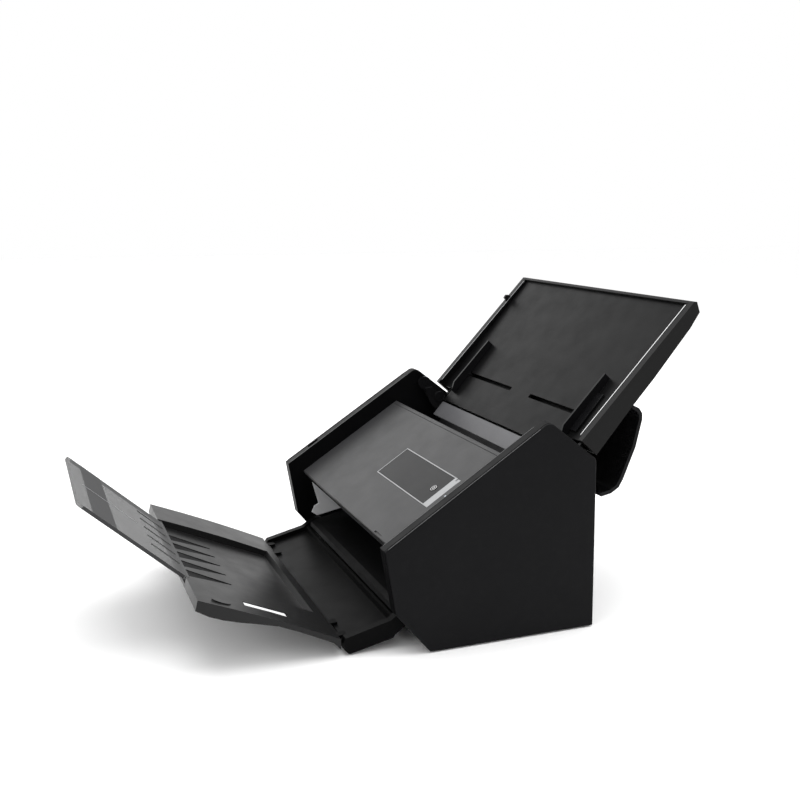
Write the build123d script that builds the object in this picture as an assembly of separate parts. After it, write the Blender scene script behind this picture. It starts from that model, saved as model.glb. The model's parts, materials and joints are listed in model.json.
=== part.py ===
from build123d import *
import os
from math import atan2, cos, degrees, hypot, pi, radians, sin, tan

# Sheet fed document scanner, standing open with its feed tray and output flaps unfolded.
# Millimetres. x runs across the machine from its middle, -y is the front, +z is up.
# The housing is drawn with z = 0 at the lower edge of the side covers and y = 0 near its middle;
# every solid is then moved by ROW_SHIFT so that the open machine is centred on the origin.

ROW_SHIFT = (0, 44.884, 1.0)
floor_z = -1.0

# Housing
half_width = 145.0
skin = 2.6
frame_out = 142.1
frame_in = 133.0
front_top = (-73.0, 84.5)
peak = (62.5, 173.0)
rear_top = (105.0, 140.0)
rear_bottom = (107.5, 0.0)
front_bottom = (-36.0, 0.0)
front_low = (-64.0, 33.3)

# Front cover and its recess below the rims
cover_foot = (-58.5, 77.0)
cover_angle = 33.2
cover_length = 118.0
cover_half = 130.7
cover_pivot = (-44.0, 70.0)

# Paper path: a straight slope down through the machine, then the exit deck
path_top = (70.0, 120.3)
path_end = (-14.0, 40.0)
path_half = 126.0
deck_half = 118.4
path_gap = 1.6
deck_rear = (-18.0, 36.6)
deck_front = (-50.0, 30.0)

# Feed tray (the lid when closed)
tray_foot = (90.3, 155.4)
tray_angle = 47.0
tray_length = 145.2
tray_pivot = (70.0, 158.25)
rail_half = 139.5
foot_half = 119.5

# Rear hood
hood_pivot = (110.5, 102.0)
hood_half = 126.0

# Output flaps
flap_half = 126.6
flap1_pivot = (-46.1, 25.65)
flap2_pivot = (-101.0, 8.5)
flap2_front = (-208.8, 59.7)
flap2_rear = (-102.1, 13.4)
pocket_half = 77.0
stop_half = 73.5
stop_angle = 138.4
stop_length = 102.8
groove_xs = (-46.0, -23.0, 0.0, 23.0, 46.0)

# Fits
running = 0.05


def unit(angle):
    return cos(radians(angle)), sin(radians(angle))


def slope_plane(origin, angle):
    """Local x across the machine, local y up the slope, local z out of it."""
    c, s = unit(angle)
    return Plane(origin=(0, *origin), x_dir=(1, 0, 0), z_dir=(0, -s, c))


def along(origin, angle, s, n=0.0):
    """The (y, z) point s along a slope and n out of it."""
    c, d = unit(angle)
    return origin[0] + s * c - n * d, origin[1] + s * d + n * c


def face_yz(points, x):
    return make_face(Polyline([(x, y, z) for y, z in points], close=True))


def prism(points, x0, x1):
    """A (y, z) outline extruded across the machine from x0 to x1."""
    return extrude(face_yz(points, x0), amount=x1 - x0, dir=(1, 0, 0))


def rod(y, z, r, x0, x1):
    return Plane(origin=(x0, y, z), z_dir=(1, 0, 0)) * Cylinder(
        r, x1 - x0, align=(Align.CENTER, Align.CENTER, Align.MIN)
    )


def ring(y, z, r_out, r_in, x0, x1):
    return rod(y, z, r_out, x0, x1) - rod(y, z, r_in, x0 - 1, x1 + 1)


def block(x0, x1, y0, y1, z0, z1):
    return Pos((x0 + x1) / 2, (y0 + y1) / 2, (z0 + z1) / 2) * Box(x1 - x0, y1 - y0, z1 - z0)


def on_slope(plane, x0, x1, s0, s1, n0, n1):
    """A box in a slope plane's own coordinates."""
    return plane * block(x0, x1, s0, s1, n0, n1)


def round_near(solid, radius, points, axis=Axis.X):
    """Rounds the edges along an axis that pass nearest to the given (y, z) points."""
    edges = solid.edges().filter_by(axis)
    chosen = []
    for y, z in points:
        edge = min(edges, key=lambda e: hypot(e.center().Y - y, e.center().Z - z))
        chosen += [
            e
            for e in edges
            if hypot(e.center().Y - edge.center().Y, e.center().Z - edge.center().Z) < 0.01
        ]
    return fillet(chosen, radius)


def mirrored(solid):
    return mirror(solid, about=Plane.YZ)


def both(solid):
    return [solid, mirrored(solid)]


def save(shapes, name):
    shapes = shapes if isinstance(shapes, list) else [shapes]
    solids = [s for shape in shapes for s in shape.solids()]
    moved = [Pos(*ROW_SHIFT) * s for s in solids]
    export_step(moved[0] if len(moved) == 1 else Compound(children=moved), f"parts/{name}.step")


# ---- Outlines shared by several pieces -------------------------------------------------------

def side_outline(inset=0.0, low=0.0):
    """The housing's side outline, drawn in by inset, and cut off below low."""
    points = [front_top, peak, rear_top, rear_bottom, front_bottom, front_low]
    face = face_yz(points, 0)
    face = fillet([v for v in face.vertices() if abs(v.Z - peak[1]) < 1], 7)
    face = fillet([v for v in face.vertices() if abs(v.Z - rear_top[1]) < 1], 6)
    face = fillet([v for v in face.vertices() if abs(v.Z - front_low[1]) < 1], 4)
    if inset:
        face = offset(face, -inset)
    if low:
        face = face & face_yz([(-200, low), (200, low), (200, 300), (-200, 300)], 0)
    return face.face()


def side_slab(x0, x1, inset=0.0, low=0.0):
    return Pos(x0, 0, 0) * extrude(side_outline(inset, low), amount=x1 - x0, dir=(1, 0, 0))


path_angle = degrees(atan2(path_top[1] - path_end[1], path_top[0] - path_end[0]))
path_slope = slope_plane(path_end, path_angle)
path_length = hypot(path_top[0] - path_end[0], path_top[1] - path_end[1])
cover_slope = slope_plane(cover_foot, cover_angle)
tray_slope = slope_plane(tray_foot, tray_angle)
flap2_angle = degrees(atan2(flap2_front[1] - flap2_rear[1], flap2_front[0] - flap2_rear[0]))
flap2_length = hypot(flap2_front[0] - flap2_rear[0], flap2_front[1] - flap2_rear[1])
flap2_slope = slope_plane(flap2_front, flap2_angle - 180)
stop_pivot = along(flap2_front, flap2_angle - 180, 3.2, -2.6)
stop_slope = Plane(
    origin=(0, *stop_pivot), x_dir=(-1, 0, 0), z_dir=(0, sin(radians(stop_angle)), -cos(radians(stop_angle)))
)

# Rollers: distance up the path of each nip, roller radius
pick_at, feed_at, exit_at = 96.0, 68.0, 13.0
sensor_low_at, sensor_up_at = 46.0, 34.0
roller_r = 8.0
shaft_r = 3.0
brake_shaft_r = 2.5
nip = 0.2


def roller_centre(at, side):
    """side -1: in the base, its rim 0.7 above the path; side +1: in the cover, nip apart."""
    n = 0.7 - roller_r if side < 0 else 0.7 + nip + roller_r
    return along(path_end, path_angle, at, n)


roller_bands = ((-62, -38), (38, 62))
pick_bands = ((-34, -12), (12, 34))


# ---- Base --------------------------------------------------------------------------------------

foot_places = [(sx * 118, y) for sx in (-1, 1) for y in (-22, 94)]


def bottom_cover():
    floor = block(-142, 142, -35.4, 106.6, 0.2, 2.6)
    rear_lip = block(-132.6, 132.6, 104.6, 106.6, 2.6, 10)
    front_lip = block(-132.6, 132.6, -35.4, -33.4, 2.6, 12)
    posts = [
        Pos(x, y, 2.6) * Cylinder(4, 12, align=(Align.CENTER, Align.CENTER, Align.MIN))
        for x, y in ((-100, 20), (100, 20), (-100, 80), (100, 80))
    ]
    body = floor + rear_lip + front_lip + posts
    for x, y in foot_places:
        body -= Pos(x, y, 0.2) * Cylinder(8.2, 2.4)
    for k in range(9):
        body -= block(-40 + 9 * k, -36 + 9 * k, 40, 74, 0, 3)
    return body


def rubber_feet():
    def foot(x, y):
        pad = Pos(x, y, floor_z) * Cylinder(8, 2.3, align=(Align.CENTER, Align.CENTER, Align.MIN))
        return chamfer(pad.edges().group_by(Axis.Z)[0], 0.6)

    return [foot(x, y) for x, y in foot_places]


def side_cover():
    slab = side_slab(half_width - skin, half_width)
    outer = slab.faces().sort_by(Axis.X)[-1]
    slab = chamfer(outer.edges(), 0.8)
    clips = [block(140.2, 142.5, y, y + 8, z, z + 3) for y, z in ((-20, 30), (80, 30), (20, 100))]
    return slab + clips


rim_wall = 3.0
rim_angle = degrees(atan2(peak[1] - front_top[1], peak[0] - front_top[0]))
catch_s = (26.5, 38.5)


def side_frame():
    """The inner side frame: a web with a rim flange, and its bearing and pivot holes."""
    slab = side_slab(frame_in, frame_out, 0.0, 2.8)
    pocket = side_slab(frame_in + 3, frame_out + 1, rim_wall, 2.8 + rim_wall)
    frame = slab - pocket
    for y, z, r in bearing_seats:
        frame += ring(y, z, r + 2.5, r, frame_in, frame_in + 6)
        frame -= rod(y, z, r, frame_in - 1, frame_in + 8)
    return frame


bush_r = 5.0
pin_r = 2.5
bearing_seats = [(*roller_centre(at, -1), bush_r) for at in (pick_at, feed_at, exit_at)]
bearing_seats += [(*tray_pivot, 3.0), (*cover_pivot, pin_r), (*flap1_pivot, pin_r)]


def left_side_frame():
    frame = mirrored(side_frame())
    hook_room = on_slope(slope_plane(front_top, rim_angle), -141.2, -137.2, *catch_s, -9, 8)
    return frame - hook_room


def shaft_bushings():
    bushes = []
    for at in (pick_at, feed_at, exit_at):
        y, z = roller_centre(at, -1)
        bush = ring(y, z, bush_r, shaft_r + running, frame_in, frame_in + 6)
        bush += ring(y, z, bush_r + 1.5, shaft_r + running, frame_in - 1, frame_in)
        bushes += both(bush)
    return bushes


def pivot_pins(centre, r, x_in):
    y, z = centre
    return both(rod(y, z, r, x_in, frame_in + 6))


rear_top_z = 118.0


def rear_panel():
    outline = [(104.4, rear_top_z), (104.4, 10.2), (102.0, 10.2), (102.0, rear_top_z)]
    panel = prism(outline, -132.7, 132.7)
    panel -= block(86, 98, 100, 106, 20, 31)
    panel -= block(56, 70, 100, 106, 19, 32)
    for row in range(5):
        for column in range(12):
            x = -104 + 11 * column
            panel -= block(x, x + 8, 100, 106, 58 + 7 * row, 61 + 7 * row)
    for x in (-70, 70):
        for x0 in (x - 14, x + 10):
            lug = prism([(104.4, 94), (104.4, 108), (110.5, 106), (114, 102), (110.5, 98)], x0, x0 + 4)
            panel += lug - rod(*hood_pivot, 2, x0 - 1, x0 + 5)
    for x in (-118, 118):
        panel -= Pos(x, 103, 20) * Rot(90, 0, 0) * Cylinder(1.6, 8)
    return panel


def rear_screws():
    def screw(x, z):
        head = Pos(x, 105.1, z) * Rot(90, 0, 0) * Cylinder(3, 1.4)
        head -= Pos(x, 105.6, z) * (Box(4, 1, 0.8) + Box(0.8, 1, 4))
        shank = Pos(x, 100.4, z) * Rot(90, 0, 0) * Cylinder(1.5, 8)
        return head + shank

    return [screw(x, 20) for x in (-118, 118)]


def power_inlet():
    body = block(86.2, 97.8, 92, 105.2, 20.2, 30.8)
    body -= Pos(92, 100, 25.5) * Rot(90, 0, 0) * Cylinder(3.4, 12)
    pin = Pos(92, 99.5, 25.5) * Rot(90, 0, 0) * Cylinder(0.9, 9)
    return body + pin


def usb_socket():
    shell = block(56.6, 69.4, 90, 105.4, 19.6, 31.4)
    shell -= block(58.4, 67.6, 94, 107, 21.2, 29.8)
    tongue = block(60.4, 65.6, 94, 103, 23.6, 27.4)
    return shell + tongue


# ---- Fixed paper path --------------------------------------------------------------------------

guide_t = 2.4


def lower_guide():
    plate = on_slope(path_slope, -path_half, path_half, 0, path_length - 0.4, -guide_t, 0)
    ribs = [on_slope(path_slope, x - 1, x + 1, 4, path_length - 6, -9, -guide_t) for x in (-110, 110)]
    plate = plate + ribs
    for at in (pick_at, feed_at, exit_at):
        plate -= rod(*roller_centre(at, -1), shaft_r + 1.2, -112, 112)
    for x0, x1 in roller_bands:
        for at in (feed_at, exit_at):
            plate -= on_slope(path_slope, x0 - 1.5, x1 + 1.5, at - 7.5, at + 7.5, -12, 2)
    for x0, x1 in pick_bands:
        plate -= on_slope(path_slope, x0 - 1.5, x1 + 1.5, pick_at - 7.5, pick_at + 7.5, -12, 2)
    plate -= on_slope(path_slope, -114, 114, sensor_low_at - 8, sensor_low_at + 8, -12, 2)
    return plate


chute_half = 120.5
chute_top = (87.5, 139.1)
lip_length = 9.0
lip_left = -96.0


def feed_chute():
    """The pale upper slope between the lip and the tray's foot."""
    foot = along(path_end, path_angle, path_length + lip_length + 0.5, 0)
    drop = (1.7, -1.8)
    outline = [foot, chute_top, (chute_top[0] + drop[0], chute_top[1] + drop[1])]
    outline += [(foot[0] + drop[0], foot[1] + drop[1])]
    return prism(outline, -chute_half, chute_half)


def feed_lip():
    """The dark rounded bar across the mouth of the feed."""
    body = on_slope(path_slope, lip_left, chute_half, path_length, path_length + lip_length, -3.0, 1.6)
    return fillet(
        [e for e in body.edges().filter_by(Axis.X) if path_slope.to_local_coords(e.center()).Z > 1], 1.4
    )


def chute_cheek():
    """The rounded dark cheek beside the chute."""
    front = [(69, 154), (70.2, 147), (73, 140.5), (77, 134.5), (82, 130), (88, 127.4), (95, 126)]
    rear = [(99, 131), (76, 155)]
    plate = prism(front + rear, 121.5, 125.6)
    boss = rod(84, 144.6, 5.4, 119.9, 121.5)
    return plate + boss


def exit_deck():
    """The floor the sheet leaves over, with an apron that turns down inside the flap's swing."""
    apron_out = [(-54.4, 27.6), (-56.0, 24.5), (-55.2, 20.6)]
    apron_in = [(-53.6, 21.2), (-54.2, 24.4), (-53.0, 26.2)]
    under = [(-49.6, 27.8), (deck_rear[0], deck_rear[1] - 2.4)]
    return prism([deck_rear, deck_front] + apron_out + apron_in + under, -deck_half, deck_half)


def path_side_plate():
    outline = [(-53, 76), (-49.6, 66), (-42.8, 41.5), (-47.3, 39), (-49.9, 33), (-44.7, 29.2), (-18, 34.5)]
    outline += [path_end, along(path_end, path_angle, 110, 0.3), (58, 128), (42, 130), (37, 137)]
    return prism(outline, 131.1, 132.8) - rod(*cover_pivot, 4.5, 130, 134)


def sensor_module(at, side):
    """A contact image sensor: a long channel with its glass lying in it."""
    s0, s1 = at - 7.4, at + 7.4
    if side < 0:
        n0, n1, g0, g1 = -16.0, -1.6, -1.6, 0.0
    else:
        n0, n1, g0, g1 = path_gap + 1.6, path_gap + 14.0, path_gap, path_gap + 1.6
    housing = on_slope(path_slope, -113.4, 113.4, s0, s1, n0, n1)
    mid = (n0 + n1) / 2
    inner = on_slope(path_slope, -109, 109, s0 + 2, s1 - 2, mid - 4.0, mid + 4.0)
    mouth_n = (mid, n1 + 1) if side < 0 else (n0 - 1, mid)
    mouth = on_slope(path_slope, -109, 109, at - 3, at + 3, *mouth_n)
    housing = housing - inner - mouth
    glass = on_slope(path_slope, -113.4, 113.4, s0, s1, g0, g1)
    return housing, glass


# ---- Electronics and drive -----------------------------------------------------------------------

board_z = 14.6


def main_board():
    board = block(-108, 108, 12, 88, board_z, board_z + 1.6)
    for x, y in ((-100, 20), (100, 20), (-100, 80), (100, 80)):
        board -= Pos(x, y, board_z) * Cylinder(1.7, 6)
    return board


def board_parts():
    top = board_z + 1.6
    places = [(-70, 30, 24, 24, 2.2), (-30, 34, 16, 12, 1.6), (-30, 60, 14, 20, 1.6), (20, 40, 18, 18, 2)]
    places += [(60, 30, 12, 30, 7), (80, 60, 20, 8, 6), (-84, 66, 8, 26, 6)]
    chips = [block(x - w / 2, x + w / 2, y - d / 2, y + d / 2, top, top + h) for x, y, w, d, h in places]
    cans = [
        Pos(x, 70, top) * Cylinder(4, 9, align=(Align.CENTER, Align.CENTER, Align.MIN)) for x in (10, 24, 38)
    ]
    return chips + cans


def board_screws():
    def screw(x, y):
        head = Pos(x, y, board_z + 2.6) * Cylinder(3, 2)
        head -= Pos(x, y, board_z + 3.4) * (Box(4, 0.8, 1) + Box(0.8, 4, 1))
        shank = Pos(x, y, board_z + 0.8) * Cylinder(1.5, 1.6)
        return head + shank

    return [screw(x, y) for x, y in ((-100, 20), (100, 20), (-100, 80), (100, 80))]


belt_x = (-130.9, -127.9)
pulley_r = 8.6
motor_centre = (58.0, 48.0)
motor_pulley_r = 5.0
belt_t = 1.2
belt_gap = 0.15


def hull_of_circles(circles):
    """The outline around a set of circles, as straight runs joined by arcs."""
    edges = []
    count = len(circles)
    ends = []
    for i in range(count):
        (y0, z0, r0), (y1, z1, r1) = circles[i], circles[(i + 1) % count]
        gap = hypot(y1 - y0, z1 - z0)
        heading = atan2(z1 - z0, y1 - y0)
        lean = heading - pi / 2 - atan2(r1 - r0, (gap**2 - (r1 - r0) ** 2) ** 0.5)
        ends.append((lean, (y0, z0, r0), (y1, z1, r1)))
    for i in range(count):
        lean, (y0, z0, r0), (y1, z1, r1) = ends[i]
        a = (0, y0 + r0 * cos(lean), z0 + r0 * sin(lean))
        b = (0, y1 + r1 * cos(lean), z1 + r1 * sin(lean))
        edges.append(Line(a, b))
        next_lean = ends[(i + 1) % count][0]
        turn = (next_lean - lean) % (2 * pi)
        middle = lean + turn / 2
        m = (0, y1 + r1 * cos(middle), z1 + r1 * sin(middle))
        c = (0, y1 + r1 * cos(next_lean), z1 + r1 * sin(next_lean))
        edges.append(ThreePointArc(b, m, c))
    return make_face(Wire(edges))


def drive_belt():
    places = [(*roller_centre(exit_at, -1), pulley_r), (*motor_centre, motor_pulley_r)]
    places += [(*roller_centre(pick_at, -1), pulley_r)]
    inner = hull_of_circles([(y, z, r + belt_gap) for y, z, r in places])
    outer = hull_of_circles([(y, z, r + belt_gap + belt_t) for y, z, r in places])
    width = belt_x[1] - belt_x[0]
    band = extrude(outer, amount=width, dir=(1, 0, 0)) - extrude(inner, amount=width, dir=(1, 0, 0))
    return Pos(belt_x[0], 0, 0) * band


def drive_motor():
    y, z = motor_centre
    can = rod(y, z, 17, -124, -84)
    flange = block(-125.6, -124, y - 24, y + 24, z - 18, z + 18)
    flange -= rod(y, z, 2.6, -127, -120)
    can -= rod(y, z, 2.2, -127, -84.5)
    return can + flange


def motor_rotor():
    y, z = motor_centre
    shaft = rod(y, z, 1.95, -127.4, -86)
    pulley = rod(y, z, motor_pulley_r, *belt_x)
    flange = rod(y, z, motor_pulley_r + 1.6, belt_x[1], belt_x[1] + 0.8)
    return shaft + pulley + flange


# ---- Rollers ---------------------------------------------------------------------------------------

def base_shaft(at):
    y, z = roller_centre(at, -1)
    shaft = rod(y, z, shaft_r, -frame_in - 5.6, frame_in + 5.6)
    pulley = rod(y, z, pulley_r, *belt_x) + rod(y, z, pulley_r + 1.4, belt_x[1], belt_x[1] + 0.8)
    return shaft + pulley


def rubber_sleeves(centre, bands, grooves, bore_r=shaft_r):
    """Rubber tyres on a shaft, with shallow grooves round them."""
    y, z = centre
    sleeves = []
    for x0, x1 in bands:
        tyre = ring(y, z, roller_r, bore_r, x0, x1)
        step = (x1 - x0) / (grooves + 1)
        for k in range(1, grooves + 1):
            tyre -= ring(y, z, roller_r + 1, roller_r - 0.8, x0 + k * step - 0.6, x0 + k * step + 0.6)
        sleeves.append(tyre)
    return sleeves


def cover_shaft(at):
    y, z = roller_centre(at, 1)
    return rod(y, z, shaft_r, -126.0, 126.0)


# ---- Front cover unit --------------------------------------------------------------------------------

screen_x = (-15.0, 91.2)
screen_s = (44.8, 78.4)
strip_x = (91.2, 100.2)
glass_t = 0.8
button_at = (81.0, 61.0)
button_r = 3.4
lamp_at = (104.6, 60.7)


def cover_shell():
    shell = on_slope(cover_slope, -cover_half, cover_half, 0, cover_length, -9, 0)
    top_edges = [e for e in shell.edges() if abs(cover_slope.to_local_coords(e.center()).Z) < 0.01]
    shell = chamfer(top_edges, 0.7)
    inner = cover_half - 2
    shell -= on_slope(cover_slope, -inner, inner, 2.8, cover_length - 2.8, -10, -2.4)
    shell -= on_slope(cover_slope, -inner, inner, -1, 2.9, -10, -4.5)
    for x0, x1 in ((-cover_half - 1, -inner + 0.1), (inner - 0.1, cover_half + 1)):
        shell -= on_slope(cover_slope, x0, x1, -1, cover_length + 1, -10, -7.6)
    x0, x1 = screen_x[0], strip_x[1]
    shell -= on_slope(cover_slope, x0 - 0.9, x1 + 0.3, screen_s[0] - 0.9, screen_s[1] + 0.9, -0.9, 1)
    shell -= on_slope(cover_slope, -8, 86.5, 48, 74, -4, 1)
    shell -= cover_slope * Pos(lamp_at[0], lamp_at[1], -1) * Cylinder(0.9, 6)
    shell -= on_slope(cover_slope, 76, 90, 1.4, 3.0, -0.9, 1)
    shell -= on_slope(cover_slope, -126, 126, cover_length - 4.4, cover_length - 3.8, -0.5, 1)
    return shell


def screen_trim():
    """The thin bright outline on three sides and the broad strip on the fourth."""
    x0, x1 = screen_x[0] - 0.8, strip_x[1] + 0.2
    s0, s1 = screen_s[0] - 0.8, screen_s[1] + 0.8
    frame = on_slope(cover_slope, x0, x1, s0, s1, -0.8, 0.15)
    frame -= on_slope(cover_slope, screen_x[0], screen_x[1], screen_s[0], screen_s[1], -2, 2)
    frame -= on_slope(cover_slope, strip_x[1] - 5.5, strip_x[1] + 1, screen_s[1] - 2.2, screen_s[1] + 2, -0.4, 1)
    return frame


def screen_glass():
    glass = on_slope(
        cover_slope, screen_x[0] + 0.1, screen_x[1] - 0.1, screen_s[0] + 0.1, screen_s[1] - 0.1, -glass_t, 0.0
    )
    hole = cover_slope * Pos(button_at[0], button_at[1], 0) * Cylinder(button_r + 0.35, 6)
    return glass - hole


def display_panel():
    body = on_slope(cover_slope, -7.6, 72, 48.4, 73.6, -4.6, -1.0)
    return body


def touch_button():
    cap = cover_slope * Pos(button_at[0], button_at[1], -2.6) * Cylinder(
        button_r, 2.9, align=(Align.CENTER, Align.CENTER, Align.MIN)
    )
    cap = chamfer(cap.edges().filter_by(GeomType.CIRCLE).sort_by(Axis.Z)[-1:], 0.3)
    stem = cover_slope * Pos(button_at[0], button_at[1], -4.6) * Cylinder(
        1.4, 2.1, align=(Align.CENTER, Align.CENTER, Align.MIN)
    )
    return cap + stem


def button_switch():
    return on_slope(cover_slope, button_at[0] - 3.2, button_at[0] + 3.2, 57.8, 64.2, -9.0, -5.7)


def status_lamp():
    return cover_slope * Pos(lamp_at[0], lamp_at[1], -2.3) * Cylinder(
        0.88, 2.2, align=(Align.CENTER, Align.CENTER, Align.MIN)
    )


guide_top = (38.6, 135.2)
throat = (45.0, 122.0)


def upper_guide():
    """The cover unit's inner guide: throat, path face and exit underside in one bent plate."""
    face_hi = along(path_end, path_angle, 79.0, path_gap)
    face_lo = along(path_end, path_angle, 2.0, path_gap)
    line = [guide_top, throat, face_hi, face_lo, (-46.0, 62.6), (-55.4, 70.6)]
    back = [(-54.0, 72.6), (-44.4, 64.4), along(path_end, path_angle, 4.0, path_gap + guide_t)]
    back += [along(path_end, path_angle, 80.0, path_gap + guide_t), (42.7, 121.4), (36.4, 133.6)]
    plate = prism(line + back, -path_half, path_half)
    for x0, x1 in roller_bands:
        for at in (feed_at, exit_at):
            plate -= on_slope(path_slope, x0 - 1.5, x1 + 1.5, at - 7.5, at + 7.5, 0, 12)
    for x0, x1 in pick_bands:
        plate -= on_slope(path_slope, x0 - 1.5, x1 + 1.5, pick_at - 9.5, pick_at + 8.5, 0, 25)
    plate -= on_slope(path_slope, -114, 114, sensor_up_at - 8, sensor_up_at + 8, 0, 12)
    y, z = roller_centre(pick_at, 1)
    for x in (-38.2, 0, 38.2):
        plate += prism([(43.4, 122), (42.0, 106), (y + 1, z - 5), (y + 4, z), (y + 1, z + 5)], x - 1.4, x + 1.4)
    return plate - rod(y, z, brake_shaft_r + running, -42, 42)


def upper_side_plate():
    """One of the two cheeks that tie the cover unit together and carry its shafts."""
    outline = [(-52.6, 71.6), (-44.4, 65.0), along(path_end, path_angle, 4.2, path_gap + 2.6)]
    outline += [along(path_end, path_angle, 79, path_gap + 2.6), (42.4, 121.6), (36.4, 133.4)]
    outline += [along(cover_foot, cover_angle, 112, -3.4), along(cover_foot, cover_angle, 3.6, -3.4)]
    cheek = prism(outline, 126.2, 128.4)
    cheek += ring(*cover_pivot, 5.0, pin_r + running, 128.4, 130.6)
    cheek -= rod(*cover_pivot, pin_r + running, 125, 132)
    for at in (feed_at, exit_at):
        y, z = roller_centre(at, 1)
        cheek += ring(y, z, 4.6, shaft_r + running, 123.4, 126.2)
        cheek -= rod(y, z, shaft_r + running, 123, 130)
    return cheek


def separation_roller():
    """The braked roller that holds back the second sheet, on its own short shaft."""
    centre = roller_centre(pick_at, 1)
    return [rod(*centre, brake_shaft_r, -40, 40)] + rubber_sleeves(centre, pick_bands, 2, brake_shaft_r)


# ---- Feed tray ------------------------------------------------------------------------------------------

def tray_point(s, n):
    return along(tray_foot, tray_angle, s, n)


tray_under = [(0.9, -18.6), (44.0, -16.4), (78.0, -15.6), (128.0, -12.6)]
skin_t = 2.2
pan_foot_drop = 8.0
pan_end_drop = 2.6


def tray_outline():
    top = [tray_point(0.4, 0), tray_point(tray_length, 0)]
    end = [tray_point(tray_length + 1.5, -2.0), tray_point(tray_length - 2.5, -10.0)]
    under = [tray_point(s, n) for s, n in reversed(tray_under)]
    return top + end + under


def tray_cover():
    body = prism(tray_outline(), -half_width, half_width)
    body = round_near(body, 2.0, [tray_point(tray_length, 0)])
    pocket_points = [tray_point(-30, 20), tray_point(tray_length - 2.6, 20)]
    pocket_points += [tray_point(tray_length - 2.6, -7.4), tray_point(128.0, -12.6 + skin_t)]
    pocket_points += [tray_point(78.0, -15.6 + skin_t), tray_point(44.0, -16.4 + skin_t)]
    pocket_points += [tray_point(-30, -20.3 + skin_t)]
    body -= prism(pocket_points, -rail_half, rail_half)
    slope_gap = [
        along(peak, degrees(atan2(rear_top[1] - peak[1], rear_top[0] - peak[0])), s, n)
        for s, n in ((-30, 0.5), (90, 0.5), (90, -40), (-30, -40))
    ]
    body -= prism(slope_gap, -150, 150)
    foot_outline = [tray_point(-11.6, -16.3), tray_point(1.4, -16.3), tray_point(1.4, -18.4), tray_point(-11.6, -18.4)]
    body += prism(foot_outline, -foot_half, foot_half)
    hook_points = [tray_point(112, -2), tray_point(113, 4.6), tray_point(116.5, 5.2), tray_point(118.5, 3.0)]
    hook_points += [tray_point(119, -2)]
    body += prism(hook_points, -140.6, -137.8)
    return body


def pan_n(s):
    """Depth of the pan's surface below the rails."""
    return -pan_foot_drop + (pan_foot_drop - pan_end_drop) * max(s, 0) / tray_length


def tray_pan():
    s_end = tray_length - 2.8
    outline = [tray_point(-11.8, pan_n(0)), tray_point(0, pan_n(0)), tray_point(s_end, pan_n(s_end))]
    outline += [tray_point(s_end, pan_n(s_end) - 2), tray_point(0, pan_n(0) - 2), tray_point(-11.8, pan_n(0) - 2)]
    pan = prism(outline, -foot_half, foot_half)
    wide = [tray_point(2.5, pan_n(2.5)), tray_point(s_end, pan_n(s_end))]
    wide += [tray_point(s_end, pan_n(s_end) - 2), tray_point(2.5, pan_n(2.5) - 2)]
    pan += prism(wide, -rail_half + 0.1, rail_half - 0.1)
    for sx in (-1, 1):
        x0, x1 = sorted((sx * 18, sx * 116))
        cut = [tray_point(22, 2), tray_point(26, 2), tray_point(26, -14), tray_point(22, -14)]
        pan -= prism(cut, x0, x1)
    post = Pos(0, pinion_at, -14.6) * Cylinder(2, 6.2, align=(Align.CENTER, Align.CENTER, Align.MIN))
    return pan + tray_slope * post


def side_rail():
    """The glossy strip along the top of one side of the tray."""
    end = tray_length - 2.7
    outline = [tray_point(4, -0.05), tray_point(end, -0.05), tray_point(end, -2.2), tray_point(4, -2.2)]
    return prism(outline, 137.2, rail_half - 0.05)


hook_notch = on_slope(tray_slope, -142, -137.7, 111.9, 119.1, -3, 6)


def hinge_arm():
    """One steel arm from the tray down to its pivot in the side frame."""
    y, z = tray_pivot
    outline = [tray_point(-17.5, 17), tray_point(-19.0, -6), tray_point(-8, -15.2), tray_point(44, -13.6)]
    outline += [tray_point(44, -10.4), tray_point(-4, -10.4), tray_point(-6.4, 17)]
    arm = prism(outline, 126.6, 130.2) + rod(y, z, 6.6, 126.6, 130.2)
    return arm - rod(y, z, 3.0 + running, 125, 132)


guide_s = (-1.0, 62.0)
guide_x = 110.0


def size_guide(side):
    """The right side guide: an upright wall, its foot, and the stem down to its rack."""
    s0, s1 = guide_s
    wall = [tray_point(s0, pan_n(s0) + 0.3), tray_point(s1, pan_n(s1) + 0.3), tray_point(s1, 1.0)]
    wall += [tray_point(s0 + 8, 1.0), tray_point(s0, -3.0)]
    body = prism(wall, guide_x - 2, guide_x)
    foot = [tray_point(8, pan_n(8) + 0.3), tray_point(46, pan_n(46) + 0.3)]
    foot += [tray_point(46, pan_n(46) + 1.7), tray_point(8, pan_n(8) + 1.7)]
    body += prism(foot, guide_x - 2, guide_x + 9)
    body += on_slope(tray_slope, guide_x - 4, guide_x - 0.5, 22.6, 25.4, rack_n[0], pan_n(24) + 1)
    reach = sorted((pinion_at - side, pinion_at + side * 12))
    return body + on_slope(tray_slope, guide_x - 4, guide_x - 0.5, *reach, *rack_n)


module = 1.2
pinion_teeth = 14
rack_s = 24.0
pinion_at = rack_s
rack_n = (-13.4, -11.2)


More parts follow.
